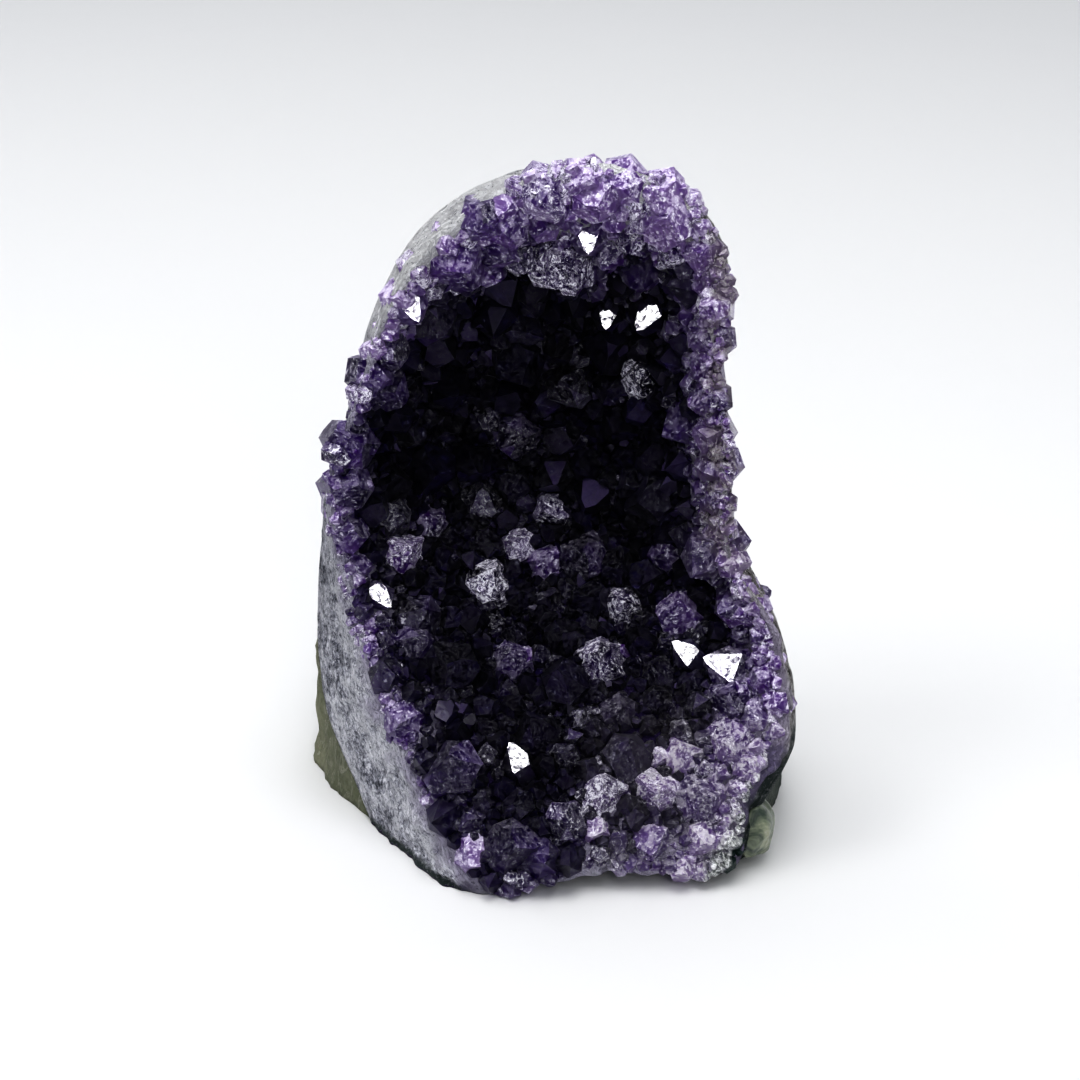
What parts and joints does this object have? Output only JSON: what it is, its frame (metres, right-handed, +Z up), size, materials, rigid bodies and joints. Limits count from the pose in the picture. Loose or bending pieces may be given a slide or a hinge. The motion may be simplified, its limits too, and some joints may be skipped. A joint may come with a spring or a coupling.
{
  "type": "amethyst cluster",
  "caption": "Free-standing piece of an amethyst geode: dark purple crystals in a niche, lined with pale quartz, on basalt sawn flat underneath.",
  "frame": {"origin": "under the middle of the cluster's box, on the surface that it stands on", "axes": "+Z up, -Y out of the hollow towards the viewer, +X to the viewer's right"},
  "size_m": [0.1086, 0.0814, 0.1449],
  "materials": {
    "basalt": "rough broken basalt, olive to green-grey, sawn flat underneath",
    "quartz": "sugary pale quartz, lilac-grey and white, streaked across its growth",
    "amethyst": "see-through violet crystal, near black in the hollow and lavender at the rim, some faces frosted",
    "chalcedony": "waxy grey-green chalcedony"
  },
  "bodies": {
    "root": {"basalt_rind": "basalt", "quartz_band": "quartz", "amethyst_druse": "amethyst", "chalcedony_knob": "chalcedony"}
  },
  "joints": []
}
